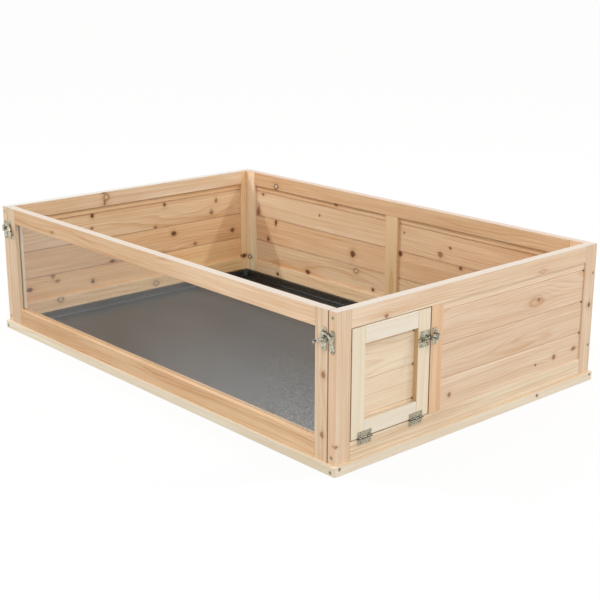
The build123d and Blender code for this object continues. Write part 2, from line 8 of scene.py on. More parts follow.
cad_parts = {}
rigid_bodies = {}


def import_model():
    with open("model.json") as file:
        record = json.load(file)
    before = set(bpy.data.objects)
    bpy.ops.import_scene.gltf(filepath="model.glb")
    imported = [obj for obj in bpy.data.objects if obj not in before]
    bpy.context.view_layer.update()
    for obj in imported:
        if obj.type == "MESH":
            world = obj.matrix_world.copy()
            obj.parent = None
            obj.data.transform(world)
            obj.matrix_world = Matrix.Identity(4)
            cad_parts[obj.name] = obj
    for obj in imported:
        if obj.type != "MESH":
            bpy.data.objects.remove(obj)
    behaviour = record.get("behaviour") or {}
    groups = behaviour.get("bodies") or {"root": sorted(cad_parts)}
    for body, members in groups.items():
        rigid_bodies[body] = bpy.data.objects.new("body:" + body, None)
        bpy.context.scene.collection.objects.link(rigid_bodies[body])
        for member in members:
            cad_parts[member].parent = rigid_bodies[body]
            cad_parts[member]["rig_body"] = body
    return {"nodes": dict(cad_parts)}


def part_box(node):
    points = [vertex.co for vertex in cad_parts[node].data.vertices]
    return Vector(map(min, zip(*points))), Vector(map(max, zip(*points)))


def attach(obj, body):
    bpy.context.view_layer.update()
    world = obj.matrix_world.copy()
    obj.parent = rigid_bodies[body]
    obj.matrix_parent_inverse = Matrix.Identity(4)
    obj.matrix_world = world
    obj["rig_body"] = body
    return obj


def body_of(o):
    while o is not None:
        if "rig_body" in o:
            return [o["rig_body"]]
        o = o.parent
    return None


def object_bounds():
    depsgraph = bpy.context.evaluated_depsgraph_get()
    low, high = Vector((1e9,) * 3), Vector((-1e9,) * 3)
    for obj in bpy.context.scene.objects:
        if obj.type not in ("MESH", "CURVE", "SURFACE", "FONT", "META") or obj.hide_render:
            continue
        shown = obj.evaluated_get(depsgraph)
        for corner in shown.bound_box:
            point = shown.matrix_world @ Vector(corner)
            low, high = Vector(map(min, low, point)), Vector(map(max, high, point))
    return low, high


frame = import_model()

cad_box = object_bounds()
scene = bpy.context.scene

# Camera: about three metres from the run, a little above the height of a table, with a short telephoto lens.
# It looks across the right front corner, and its turns are in radians.
camera = bpy.data.objects.new("camera", bpy.data.cameras.new("camera"))
scene.collection.objects.link(camera)
camera.data.sensor_width = 36.0
camera.data.lens = 72.8
camera.data.clip_start = 0.05
camera.data.clip_end = 50.0
yaw, pitch, roll = -0.8398, 0.2873, 0.0031
forward = Vector((math.sin(yaw) * math.cos(pitch), math.cos(yaw) * math.cos(pitch), -math.sin(pitch)))
level = Vector((math.cos(yaw), -math.sin(yaw), 0.0))
upright = level.cross(forward)
right = math.cos(roll) * level + math.sin(roll) * upright
up = math.cos(roll) * upright - math.sin(roll) * level
stand = Matrix.Translation((2.0462, -1.7760, 0.9263))
camera.matrix_world = stand @ Matrix((right, up, -forward)).transposed().to_4x4()
scene.camera = camera


# Studio: a white floor that runs off into white, an even pale surround, and two small lamps, high at the left
# front and the right rear, which leave the slanting shadows in the far corner of the run. Two black cards
# show only as dark streaks in the metal.
def node(tree, kind, inputs=None, **settings):
    """One shader node with its settings, its plain inputs and the links into it."""
    made = tree.nodes.new(kind)
    for name, value in settings.items():
        setattr(made, name, value)
    for name, value in (inputs or {}).items():
        if isinstance(value, bpy.types.NodeSocket):
            tree.links.new(value, made.inputs[name])
        else:
            made.inputs[name].default_value = value
    return made


def math_node(tree, operation, *values, clamp=False):
    """A Math node's result for one, two or three values."""
    made = node(tree, "ShaderNodeMath", dict(enumerate(values)), operation=operation, use_clamp=clamp)
    return made.outputs[0]


def tint(red, green, blue):
    """A colour as a paint chart gives it, turned into the linear values that the shaders take."""
    parts = [c / 255 for c in (red, green, blue)]
    return tuple(c / 12.92 if c < 0.04045 else ((c + 0.055) / 1.055) ** 2.4 for c in parts) + (1.0,)


scene.view_settings.view_transform = "Standard"
world = bpy.data.worlds.new("surround")
scene.world = world
world.use_nodes = True
tree = world.node_tree
tree.nodes.clear()
path = node(tree, "ShaderNodeLightPath")
seen = math_node(tree, "MAXIMUM", path.outputs["Is Camera Ray"], path.outputs["Is Transmission Ray"])
seen = math_node(tree, "MAXIMUM", seen, path.outputs["Is Glossy Ray"])
lit = node(tree, "ShaderNodeBackground", {"Color": (1.0, 0.985, 0.965, 1), "Strength": 1.03})
white = node(tree, "ShaderNodeBackground", {"Color": (1, 1, 1, 1), "Strength": 1.0})
both = node(tree, "ShaderNodeMixShader", {0: seen, 1: lit.outputs[0], 2: white.outputs[0]})
node(tree, "ShaderNodeOutputWorld", {"Surface": both.outputs[0]})

bpy.ops.mesh.primitive_plane_add(size=60, location=(0, 0, -0.0002))
floor = bpy.context.object
floor.name = "floor"
floor_look = bpy.data.materials.new("floor")
floor_look.use_nodes = True
tree = floor_look.node_tree
tree.nodes.clear()
path = node(tree, "ShaderNodeLightPath")
seen = math_node(tree, "MAXIMUM", path.outputs["Is Camera Ray"], path.outputs["Is Transmission Ray"])
paper = node(tree, "ShaderNodeBsdfDiffuse", {"Color": (0.5, 0.5, 0.5, 1)})
dim = node(tree, "ShaderNodeBsdfDiffuse", {"Color": (0.6, 0.595, 0.58, 1)})
paper = node(tree, "ShaderNodeMixShader", {0: path.outputs["Is Glossy Ray"], 1: paper.outputs[0],
                                           2: dim.outputs[0]})
glow = node(tree, "ShaderNodeEmission", {"Color": (1, 1, 1, 1), "Strength": 1.1})
ground = node(tree, "ShaderNodeMixShader", {0: math_node(tree, "MULTIPLY", seen, 0.8), 1: paper.outputs[0],
                                            2: glow.outputs[0]})
node(tree, "ShaderNodeOutputMaterial", {"Surface": ground.outputs[0]})
floor.data.materials.append(floor_look)

for name, place, power in (("left_lamp", (-1.95, -1.75, 2.75), 38.0),
                           ("right_lamp", (1.75, 1.85, 2.75), 30.0)):
    lamp = bpy.data.objects.new(name, bpy.data.lights.new(name, "AREA"))
    scene.collection.objects.link(lamp)
    lamp.data.size = 0.14
    lamp.data.energy = power
    lamp.location = place
    lamp.rotation_euler = (Vector((0, 0, 0.1)) - lamp.location).to_track_quat("-Z", "Y").to_euler()

black = bpy.data.materials.new("black_card")
black.use_nodes = True
black.node_tree.nodes["Principled BSDF"].inputs["Base Color"].default_value = (0.02, 0.02, 0.02, 1)
for name, place in (("left_card", (-3.6, -4.2, 1.15)), ("right_card", (3.4, 4.0, 1.15))):
    bpy.ops.mesh.primitive_plane_add(size=1, location=place)
    card = bpy.context.object
    card.name = name
    card.rotation_euler = Vector((place[0], place[1], 0)).to_track_quat("Z", "Y").to_euler()
    card.scale = (3.4, 1.9, 1)
    card.visible_camera = card.visible_diffuse = card.visible_shadow = card.visible_transmission = False
    card.data.materials.append(black)


# Plinth: four strips of the palest pine, planed square, mitred and screwed at the corners, with a thin
# plywood sheet let into a groove in them. It carries the walls, the front panel and the tray.

# A knot's shape: a rounded square whose edge wanders, each in its own way, and that pushes the rings aside.
knot_shape = bpy.data.node_groups.new("knot_shape", "ShaderNodeTree")
for name, kind in (("Place", "NodeSocketVector"), ("Centre", "NodeSocketVector"),
                   ("Shrink", "NodeSocketVector"), ("Ragged", "NodeSocketFloat"),
                   ("Push", "NodeSocketFloat"), ("Shift in", "NodeSocketFloat")):
    knot_shape.interface.new_socket(name, in_out="INPUT", socket_type=kind)
for name in ("Shift", "Near"):
    knot_shape.interface.new_socket(name, in_out="OUTPUT", socket_type="NodeSocketFloat")
given = node(knot_shape, "NodeGroupInput").outputs
away = node(knot_shape, "ShaderNodeVectorMath", {0: given["Place"], 1: given["Centre"]}, operation="SUBTRACT")
scaled = node(knot_shape, "ShaderNodeVectorMath", {0: away.outputs[0], 1: given["Shrink"]},
              operation="MULTIPLY")
far = node(knot_shape, "ShaderNodeVectorMath", {0: scaled.outputs[0]}, operation="LENGTH").outputs["Value"]
positive = node(knot_shape, "ShaderNodeVectorMath", {0: scaled.outputs[0]}, operation="ABSOLUTE").outputs[0]
corner = node(knot_shape, "ShaderNodeVectorMath", {0: positive, 1: (0.3, 0.3, 0.3)}, operation="DOT_PRODUCT")
far = math_node(knot_shape, "MULTIPLY_ADD", far, 0.7, corner.outputs["Value"])
drawn = node(knot_shape, "ShaderNodeVectorMath", {0: scaled.outputs[0], 1: (0.8, 2.6, 1.0)},
             operation="MULTIPLY")
drawn = node(knot_shape, "ShaderNodeVectorMath", {
    0: drawn.outputs[0], 1: given["Centre"], 2: (90.0, 90.0, 90.0)}, operation="MULTIPLY_ADD")
kinks = node(knot_shape, "ShaderNodeVectorMath", {
    0: given["Centre"], 1: (90.0, 90.0, 90.0), 2: drawn.outputs[0]}, operation="MULTIPLY_ADD")
wander = node(knot_shape, "ShaderNodeTexNoise", {"Vector": kinks.outputs[0], "Scale": 1.0, "Detail": 2.5})
swerve = math_node(knot_shape, "SUBTRACT", wander.outputs[0], 0.5)
swerve = math_node(knot_shape, "MULTIPLY", swerve, given["Ragged"])
square = math_node(knot_shape, "MULTIPLY", far, far)
round_it = math_node(knot_shape, "EXPONENT", math_node(knot_shape, "MULTIPLY", square, -0.16))
across = node(knot_shape, "ShaderNodeSeparateXYZ", {0: away.outputs[0]}).outputs["Y"]
push = math_node(knot_shape, "MULTIPLY", across, round_it)
push = math_node(knot_shape, "MULTIPLY", push, given["Push"])
node(knot_shape, "NodeGroupOutput", {"Shift": math_node(knot_shape, "ADD", push, given["Shift in"]),
                                     "Near": math_node(knot_shape, "ADD", far, swerve)})

# A knot's colours: a halo in the wood round it, and a heart that turns into its rim.
knot_stain = bpy.data.node_groups.new("knot_stain", "ShaderNodeTree")
for name, kind in (("Near", "NodeSocketFloat"), ("Wood", "NodeSocketColor"), ("Halo", "NodeSocketColor"),
                   ("Heart", "NodeSocketColor"), ("Rim", "NodeSocketColor"), ("Depth", "NodeSocketFloat"),
                   ("Glow", "NodeSocketFloat")):
    knot_stain.interface.new_socket(name, in_out="INPUT", socket_type=kind)
knot_stain.interface.new_socket("Wood", in_out="OUTPUT", socket_type="NodeSocketColor")
given = node(knot_stain, "NodeGroupInput").outputs
square = math_node(knot_stain, "MULTIPLY", given["Near"], given["Near"])
halo = math_node(knot_stain, "EXPONENT", math_node(knot_stain, "MULTIPLY", square, -0.4))
halo = math_node(knot_stain, "MULTIPLY", halo, given["Glow"])
warm = node(knot_stain, "ShaderNodeMix", {0: halo, 6: given["Wood"], 7: given["Halo"]}, data_type="RGBA")
outward = node(knot_stain, "ShaderNodeMapRange", {0: given["Near"], 1: 0.3, 2: 0.8},
               interpolation_type="SMOOTHSTEP").outputs[0]
heart = node(knot_stain, "ShaderNodeMix", {0: outward, 6: given["Heart"], 7: given["Rim"]},
             data_type="RGBA").outputs[2]
core = node(knot_stain, "ShaderNodeMapRange", {0: given["Near"], 1: 0.72, 2: 1.2, 3: 1.0, 4: 0.0},
            interpolation_type="SMOOTHSTEP").outputs[0]
core = math_node(knot_stain, "MULTIPLY", core, given["Depth"])
stained = node(knot_stain, "ShaderNodeMix", {0: core, 6: warm.outputs[2], 7: heart}, data_type="RGBA")
node(knot_stain, "NodeGroupOutput", {"Wood": stained.outputs[2]})

# Kinds of knot: how ragged its edge is, how far it pushes the rings, the colours of its heart and its rim,
# how strong these are, and how strong its halo is.
knot_kinds = {
    "dark": (2.0, -0.9, (94, 54, 26), (124, 74, 38), 0.9, 0.75),
    "brown": (2.1, -0.9, (162, 104, 60), (132, 80, 42), 0.75, 0.62),
    "ring": (1.3, -0.9, (232, 204, 168), (128, 86, 54), 0.72, 0.5),
    # resin: a real knot whose near-white heart is a painted glint on its resin, a painted highlight.
    "resin_glint": (1.6, -0.9, (250, 240, 226), (92, 62, 42), 0.9, 0.45),
    "swirl": (1.2, -1.0, (228, 188, 150), (192, 128, 84), 0.5, 0.35),
    "arch": (0.6, -1.0, (232, 202, 172), (212, 162, 112), 0.3, 0.1),
    "grain": (0.8, -1.0, (226, 178, 118), (206, 152, 92), 0.5, 0.2),
    "speck": (1.2, -0.5, (118, 74, 46), (128, 82, 52), 0.85, 0.3),
    # gap: a dark mark where a joint gapes, painted shade in that gap.
    "gap": (0.4, 0.0, (84, 56, 36), (100, 68, 44), 0.85, 0.35)}


def dress(piece, look):
    """Gives this node of the frame its one material."""
    held = frame["nodes"][piece].data.materials
    held.clear()
    held.append(look)


def pine(piece, axes, tone, knots=(), contrast=1.0, far_tone=None, seams=(), seam_shade=0.36, face_tints=()):
    """The look of one planed stick, which has its own face of the tree: rings are shells round a pith off to
    one side, so faces show straight or arched grain and ends show arcs. Its mean tone may drift to another at
    the far end. The axes name its length, width and thickness. A knot is (along, across, half length, half
    width, kind) in metres, with (depth, half depth) where it is shallow. Seams are the heights of the lines
    between boards, which are painted darker by the share given: painted shade in their grooves. A face tint
    is (colour, share, {axis: (place, half width)}), an edge or a face painted its own colour, most of them
    painted shade and some painted light, whose place is a coordinate or the stick's own low or high end."""
    ring_spacing, outer_tone, top_sheen_tone = 0.0046, (228, 198, 168), (201, 193, 183)
    chance = random.Random(piece)
    look = bpy.data.materials.new(piece)
    look.use_nodes = True
    tree = look.node_tree
    shader = tree.nodes["Principled BSDF"]
    whole = node(tree, "ShaderNodeTexCoord").outputs["Object"]
    parts = node(tree, "ShaderNodeSeparateXYZ", {0: whole}).outputs
    own = node(tree, "ShaderNodeCombineXYZ", {i: parts[axis] for i, axis in enumerate(axes)}).outputs[0]
    own_parts = node(tree, "ShaderNodeSeparateXYZ", {0: own}).outputs
    shift, nears = 0.0, []
    for knot in knots:
        ragged, pushed = knot_kinds[knot[4]][:2]
        depth, half_depth = knot[5:] if len(knot) > 5 else (0.0, 9.0)
        shape = node(tree, "ShaderNodeGroup", {
            "Place": own, "Centre": (knot[0], knot[1], depth),
            "Shrink": (1 / knot[2], 1 / knot[3], 1 / half_depth),
            "Ragged": ragged, "Push": pushed, "Shift in": shift}, node_tree=knot_shape)
        shift = shape.outputs["Shift"]
        nears.append(shape.outputs["Near"])

    low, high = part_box(piece)
    ends = {"low": dict(zip("XYZ", low)), "high": dict(zip("XYZ", high))}
    middle = dict(zip("XYZ", (low + high) / 2))
    sides = (chance.choice((-1, 1)) * chance.uniform(0.02, 0.09), chance.uniform(0.03, 0.11))
    seed = chance.uniform(-20, 20)

    def noise(along, crosswise, detail=2.0, offset=0.0):
        """Streaks with this many waves to the metre along the stick and across it."""
        place = node(tree, "ShaderNodeVectorMath", {0: own, 1: (along, crosswise, crosswise),
                                                    2: (seed + offset, seed * 0.7 - offset, 3.1 + offset)},
                     operation="MULTIPLY_ADD").outputs[0]
        made = node(tree, "ShaderNodeTexNoise", {
            "Vector": place, "Scale": 1.0, "Detail": detail, "Roughness": 0.5})
        return math_node(tree, "SUBTRACT", made.outputs[0], 0.5)

    sideways = math_node(tree, "ADD", own_parts["Y"], -middle[axes[1]] - sides[0])
    sideways = math_node(tree, "ADD", sideways, shift)
    inward = math_node(tree, "ADD", own_parts["Z"], -middle[axes[2]] - sides[1])
    flat = node(tree, "ShaderNodeCombineXYZ", {0: sideways, 1: inward, 2: 0.0})
    radius = node(tree, "ShaderNodeVectorMath", {0: flat.outputs[0]}, operation="LENGTH").outputs["Value"]
    radius = math_node(tree, "MULTIPLY_ADD", noise(1.9, 8.0), 0.05, radius)
    radius = math_node(tree, "MULTIPLY_ADD", noise(7.0, 60.0, offset=5.0), 0.004, radius)
    year = math_node(tree, "DIVIDE", radius, ring_spacing)
    ring = node(tree, "ShaderNodeValToRGB", {0: math_node(tree, "FRACT", year)})
    ring.color_ramp.interpolation = "B_SPLINE"
    ring.color_ramp.elements[0].color = (0, 0, 0, 1)
    ring.color_ramp.elements[1].color = (0, 0, 0, 1)
    for spot, shade in ((0.5, 0.1), (0.8, 1.0), (0.9, 0.8)):
        ring.color_ramp.elements.new(spot).color = (shade, shade, shade, 1)
    lean = node(tree, "ShaderNodeCombineXYZ", {0: math_node(tree, "MULTIPLY", year, 0.37),
                                               1: math_node(tree, "MULTIPLY", own_parts["X"], 1.6), 2: seed})
    strong = node(tree, "ShaderNodeTexNoise", {"Vector": lean.outputs[0], "Scale": 1.0, "Detail": 1.0})
    strong = math_node(tree, "MULTIPLY_ADD", strong.outputs[0], 2.2, -0.75, clamp=True)
    fibre = noise(16.0, 760.0)
    shade = math_node(tree, "MULTIPLY_ADD", math_node(tree, "MULTIPLY", ring.outputs[0], strong), 0.8, 0.38)
    shade = math_node(tree, "MULTIPLY_ADD", fibre, 0.5, shade)
    shade = math_node(tree, "MULTIPLY_ADD", noise(3.2, 260.0, 1.0, offset=9.0), 0.8, shade)
    shade = math_node(tree, "MULTIPLY_ADD", noise(4.0, 120.0, offset=2.0), 0.85, shade)
    shade = math_node(tree, "MULTIPLY_ADD", noise(3.0, 22.0, offset=4.0), 0.9, shade)
    shade = math_node(tree, "MULTIPLY_ADD", noise(9.0, 14.0, offset=7.0), 0.3, shade, clamp=True)
    mean = tint(*tone)[:3]
    swing = [contrast * s for s in (0.13, 0.25, 0.38)]
    pale = tuple(m * (1 + s) for m, s in zip(mean, swing)) + (1.0,)
    deep = tuple(m * (1 - s) for m, s in zip(mean, swing)) + (1.0,)
    colour = node(tree, "ShaderNodeMix", {0: shade, 6: pale, 7: deep}, data_type="RGBA").outputs[2]
    # The tone drifts along the stick, and in the left and back walls also through it, to a calm outer face.
    wall = piece.split("_")[0]
    drifts = [("X", "low", "high", far_tone)] if far_tone else []
    if wall in ("left", "back"):
        drifts.append(("Z", *(("high", "low") if wall == "left" else ("low", "high")), outer_tone))
    for way, start, end, other in drifts:
        axis = axes["XYZ".index(way)]
        start, end = ends[start][axis], ends[end][axis]
        drift = node(tree, "ShaderNodeMapRange", {0: own_parts[way], 1: start, 2: end}).outputs[0]
        change = tuple(f / m for f, m in zip(tint(*other), mean)) + (1.0,)
        gain = node(tree, "ShaderNodeMix", {0: drift, 6: (1, 1, 1, 1), 7: change}, data_type="RGBA")
        colour = node(tree, "ShaderNodeMix", {0: 1.0, 6: colour, 7: gain.outputs[2]}, data_type="RGBA",
                      blend_type="MULTIPLY").outputs[2]
    for knot, near in zip(knots, nears):
        heart, rim, depth, glow = knot_kinds[knot[4]][2:]
        halo = tuple(m * f for m, f in zip(mean, (0.66, 0.5, 0.38))) + (1.0,)
        colour = node(tree, "ShaderNodeGroup", {
            "Near": near, "Wood": colour, "Halo": halo, "Heart": tint(*heart), "Rim": tint(*rim),
            "Depth": depth, "Glow": glow}, node_tree=knot_stain).outputs[0]
    # The lines between boards are painted darker: painted shade in the V-grooves of their joints.
    for height in seams:
        off = math_node(tree, "ABSOLUTE", math_node(tree, "SUBTRACT", parts["Z"], height))
        groove_shade = node(tree, "ShaderNodeMapRange", {0: off, 1: 0.0004, 2: 0.0026, 3: seam_shade, 4: 0.0}).outputs[0]
        colour = node(tree, "ShaderNodeMix", {0: groove_shade, 6: colour, 7: tint(138, 78, 36)}, data_type="RGBA")
        colour = colour.outputs[2]
    # A stick at the top gets a painted sheen: its upper edge is painted a pale grey, as light from above
    # washes it out.
    if high.z > cad_box[1][2] - 0.0005:  # a stick at the top, with a duller upper edge
        edge = {"back": (199, 182, 170), "left": (202, 205, 201)}.get(wall, top_sheen_tone)
        face_tints = [*face_tints, (edge, 0.85, {"Z": ("high", 0.0008)})]
    for other, share, where in face_tints:
        for axis, (place, half) in where.items():
            place = ends[place][axis] if place in ends else place
            share = math_node(tree, "MULTIPLY", math_node(tree, "COMPARE", parts[axis], place, half), share)
        colour = node(tree, "ShaderNodeMix", {0: share, 6: colour, 7: tint(*other)}, data_type="RGBA")
        colour = colour.outputs[2]
    tree.links.new(colour, shader.inputs["Base Color"])
    tree.links.new(math_node(tree, "MULTIPLY_ADD", shade, -0.12, 0.56), shader.inputs["Roughness"])
    rise = math_node(tree, "MULTIPLY_ADD", fibre, 0.8, math_node(tree, "MULTIPLY", shade, 0.6))
    bump = node(tree, "ShaderNodeBump", {"Strength": 0.3, "Distance": 0.0004, "Height": rise})
    tree.links.new(bump.outputs[0], shader.inputs["Normal"])
    dress(piece, look)


for strip in ("plinth_front", "plinth_back"):
    pine(strip, "XZY", (231, 217, 192), contrast=0.5)
for strip in ("plinth_left", "plinth_right"):
    # The side strips' top faces are painted darker: painted shade on that ledge.
    pine(strip, "YZX", (241, 226, 203), [(0.1943, 0.0106, 0.004, 0.0035, "speck")], contrast=0.5,
         face_tints=[((218, 196, 166), 0.7, {"Z": ("high", 0.0004)})])
pine("base_sheet", "XYZ", (206, 176, 138), contrast=0.5)

# Left wall: a frame of four grooved sticks round one long bay of four bevelled tongue-and-groove boards, seen
# from inside. Its boards are the most knotty of the run and the warmest in tone.
courses = [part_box(f"left_board_{number}")[0].z - 0.0009 for number in (2, 3, 4)]
pine("left_front_stile", "ZYX", (222, 194, 163))
# The rear stile's tone is raised to the palest: painted light against the shade in the corner.
pine("left_rear_stile", "ZYX", (255, 218, 169), [(0.0627, 0.354, 0.006, 0.009, "dark")])
pine("left_top_rail", "YZX", (235, 200, 162), [
    (-0.1, 0.2947, 0.009, 0.012, "ring"), (-0.106, 0.281, 0.006, 0.009, "brown"),
    (-0.108, 0.306, 0.008, 0.003, "brown")], far_tone=(241, 209, 175))
# Its top edge, below the boards, is painted darker: painted shade.
pine("left_bottom_rail", "YZX", (255, 213, 165), [
    (-0.25, 0.0488, 0.010, 0.008, "ring"), (0.0466, 0.037, 0.009, 0.007, "ring")], far_tone=(255, 220, 166),
    face_tints=[((204, 186, 164), 0.75, {"Z": ("high", 0.0006)})])
pine("left_board_4", "YZX", (246, 203, 155), seams=courses)
pine("left_board_3", "YZX", (241, 203, 161), [
    (-0.14, 0.25, 0.006, 0.006, "dark"), (0.0866, 0.2476, 0.006, 0.007, "dark"),
    (-0.1427, 0.2174, 0.005, 0.004, "brown"), (0.245, 0.2049, 0.008, 0.008, "brown"),
    (0.262, 0.236, 0.005, 0.006, "brown"), (0.0554, 0.1908, 0.006, 0.005, "brown")], seams=courses)
pine("left_board_2", "YZX", (244, 199, 152), [
    (0.1146, 0.1645, 0.009, 0.007, "dark"), (0.186, 0.1242, 0.007, 0.005, "brown"),
    (0.3184, 0.1432, 0.009, 0.007, "dark"), (-0.0847, 0.1206, 0.009, 0.005, "dark")], seams=courses)
pine("left_board_1", "YZX", (255, 208, 153), [
    (-0.2634, 0.1147, 0.006, 0.008, "brown"), (-0.2515, 0.0968, 0.008, 0.005, "brown"),
    (-0.1472, 0.0765, 0.007, 0.007, "dark"), (-0.3316, 0.0886, 0.009, 0.006, "dark")], seams=courses)

# Back wall: two bays of the same boards between end stiles and a middle stick, all grooved. The courses run
# through, so one node holds the two boards of a course.
# The left stile's tone is raised to the palest: painted light against the shade in the corner.
pine("back_left_stile", "ZXY", (255, 238, 201), [(0.061, -0.5558, 0.008, 0.009, "resin_glint")],
     far_tone=(251, 219, 185))
pine("back_right_stile", "ZXY", (250, 208, 167))
pine("back_muntin", "ZXY", (239, 202, 152), [(0.09, 0.004, 0.045, 0.007, "grain")], contrast=0.4,
     far_tone=(242, 206, 160))
pine("back_top_rail", "XZY", (229, 186, 142), [
    (-0.441, 0.281, 0.011, 0.010, "resin_glint"), (-0.4435, 0.271, 0.006, 0.004, "dark")])
# Its top edge, below the boards, is painted darker: painted shade.
pine("back_bottom_rail", "XZY", (255, 222, 179), [(-0.4333, 0.0342, 0.006, 0.005, "dark")],
     far_tone=(246, 206, 166), face_tints=[((204, 182, 156), 0.75, {"Z": ("high", 0.0006)})])
pine("back_board_4", "XZY", (243, 200, 154), [(-0.209, 0.2665, 0.007, 0.004, "brown")], seams=courses)
pine("back_board_3", "XZY", (243, 211, 174), [
    (-0.505, 0.2486, 0.006, 0.004, "dark"), (-0.5259, 0.1972, 0.007, 0.012, "brown"),
    (-0.2721, 0.2275, 0.004, 0.004, "speck"), (0.0367, 0.2352, 0.003, 0.003, "speck"),
    (0.188, 0.2239, 0.005, 0.004, "speck"), (0.1576, 0.2012, 0.008, 0.007, "brown")],
    far_tone=(238, 190, 145), seams=courses)
# Its tone is paler at the left end: partly painted light against the corner's cast shadow.
pine("back_board_2", "XZY", (242, 202, 159), [
    (-0.45, 0.1771, 0.006, 0.009, "dark"), (-0.4834, 0.1251, 0.006, 0.007, "dark"),
    (-0.1441, 0.1437, 0.010, 0.010, "dark"), (0.0258, 0.1784, 0.006, 0.006, "dark"),
    (0.2234, 0.1812, 0.007, 0.005, "dark")], far_tone=(226, 176, 130), seams=courses)
pine("back_board_1", "XZY", (241, 206, 167), [
    (-0.1309, 0.1024, 0.010, 0.008, "ring"), (-0.3177, 0.0622, 0.008, 0.006, "dark"),
    (-0.0677, 0.0648, 0.006, 0.006, "dark")], seams=courses)

# Right wall: a front post, a middle stile and a rear stile, with the door's opening before one bay of the
# same boards. Its pine is pinker and cleaner. The joints of its boards gape a little at their rear ends, and
# dark marks are painted there: painted shade in those gaps.
calm = {"contrast": 0.8, "seams": courses, "seam_shade": 0.05}
# Dark marks at the rear ends of the joints: painted shade in small gaps.
gaps = [(0.3448, height, 0.0026, 0.0034, "gap") for height in courses]
pine("right_front_post", "ZXY", (233, 204, 173), [(0.055, 0.588, 0.003, 0.006, "brown", -0.3845, 0.006)],
     face_tints=[((222, 180, 138), 0.4, {"Y": ("low", 0.0008)})])
# The middle stile's front face, near its outer side, is painted dark: painted shade in the door's gap.
pine("right_middle_stile", "ZYX", (233, 192, 151),
     face_tints=[((128, 88, 56), 0.85, {"Y": ("low", 0.0008), "X": ("high", 0.003)})])
pine("right_rear_stile", "ZYX", (226, 196, 165), [(0.174, 0.3689, 0.007, 0.006, "dark")])
pine("right_top_rail", "YZX", (243, 217, 189), [
    (-0.2594, 0.277, 0.006, 0.005, "brown"), (0.1986, 0.2796, 0.014, 0.005, "swirl")],
    far_tone=(225, 191, 157))
# Its top edge, below the boards, is painted darker: painted shade.
pine("right_bottom_rail", "YZX", (234, 210, 179), face_tints=[((206, 178, 148), 0.7, {"Z": ("high", 0.0006)})])
# The top board's tone is raised: painted light against the shade under the top rail.
pine("right_board_4", "YZX", (242, 216, 187), gaps[2:], **calm)
pine("right_board_3", "YZX", (230, 198, 167), [
    (0.186, 0.2155, 0.030, 0.0105, "swirl"), (0.195, 0.2176, 0.006, 0.004, "brown"), *gaps[1:]], **calm)
pine("right_board_2", "YZX", (229, 198, 167), [(0.14, 0.136, 0.12, 0.012, "arch"), *gaps[:2]], **calm)
pine("right_board_1", "YZX", (233, 204, 174), [
    (0.327, 0.0824, 0.006, 0.005, "brown"), (0.2586, 0.0791, 0.006, 0.005, "brown"),
    (0.1958, 0.0755, 0.004, 0.003, "speck"), (-0.0756, 0.0772, 0.005, 0.004, "brown"), *gaps[:1]], **calm)

# Front panel: two stiles and two rails of straight-grained pine, butted and glued round the window. It lifts
# out, and four dowels below it stand in the plinth. The left stile's inner edge is given a paler cream, and
# behind the window it is painted almost white: painted light on a face that lies in shade.
pine("panel_left_stile", "ZXY", (211, 180, 148), face_tints=[
    ((226, 200, 168), 0.7, {"X": ("high", 0.0008)}),
    ((255, 242, 222), 0.95, {"X": ("high", 0.0008), "Y": (-0.362, 0.0086)})])
# The right stile's end face, near its front, is painted dark brown: painted shade in the gap by the post.
pine("panel_right_stile", "ZXY", (227, 199, 166), [
    (0.185, 0.5578, 0.007, 0.006, "brown"), (0.069, 0.5555, 0.006, 0.005, "brown")],
    face_tints=[((158, 110, 70), 0.8, {"X": ("high", 0.0008), "Y": ("low", 0.004)})])
pine("panel_top_rail", "XZY", (205, 165, 122), [(-0.3615, 0.2828, 0.006, 0.003, "brown")], contrast=1.2,
     far_tone=(229, 192, 155))
pine("panel_bottom_rail", "XZY", (201, 160, 118), contrast=1.3, far_tone=(227, 190, 149))
pine("panel_pegs", "ZXY", (206, 168, 128))

# Window: a clear acrylic sheet, 2 mm thick, in a groove of the panel. A slight haze and fine dust make what
# lies behind it greyer; more haze, in dusty streaks, is painted low down and to the right as a painted sheen.
# Its lowest strip, where it enters the groove, is painted pale lit wood: painted light over its shade.
look = bpy.data.materials.new("acrylic")
look.use_nodes = True
tree = look.node_tree
tree.nodes.clear()
place = node(tree, "ShaderNodeTexCoord").outputs["Object"]
dust = node(tree, "ShaderNodeTexNoise", {"Vector": place, "Scale": 400.0, "Detail": 1.0})
specks = node(tree, "ShaderNodeMapRange", {0: dust.outputs[0], 1: 0.42, 2: 0.7}).outputs[0]
film = node(tree, "ShaderNodeTexNoise", {"Vector": place, "Scale": 5.0, "Detail": 2.0})
amount = math_node(tree, "MULTIPLY_ADD", specks, 0.05, 0.008)
amount = math_node(tree, "MULTIPLY_ADD", math_node(tree, "SUBTRACT", film.outputs[0], 0.5), 0.02, amount)
parts = node(tree, "ShaderNodeSeparateXYZ", {0: place}).outputs
# Painted sheen: the haze is painted stronger towards the right and low down, in dusty streaks.
dust_and_sheen = node(tree, "ShaderNodeMapRange", {0: parts["X"], 1: -0.1, 2: 0.55, 3: 0.0, 4: 0.06}).outputs[0]
low = node(tree, "ShaderNodeMapRange", {0: parts["Z"], 1: 0.06, 2: 0.2, 3: 2.2, 4: 0.35}).outputs[0]
streaky = math_node(tree, "MULTIPLY_ADD", specks, 1.8, 0.4)
dust_and_sheen = math_node(tree, "MULTIPLY", dust_and_sheen, math_node(tree, "MULTIPLY", low, streaky))
amount = math_node(tree, "ADD", amount, dust_and_sheen)
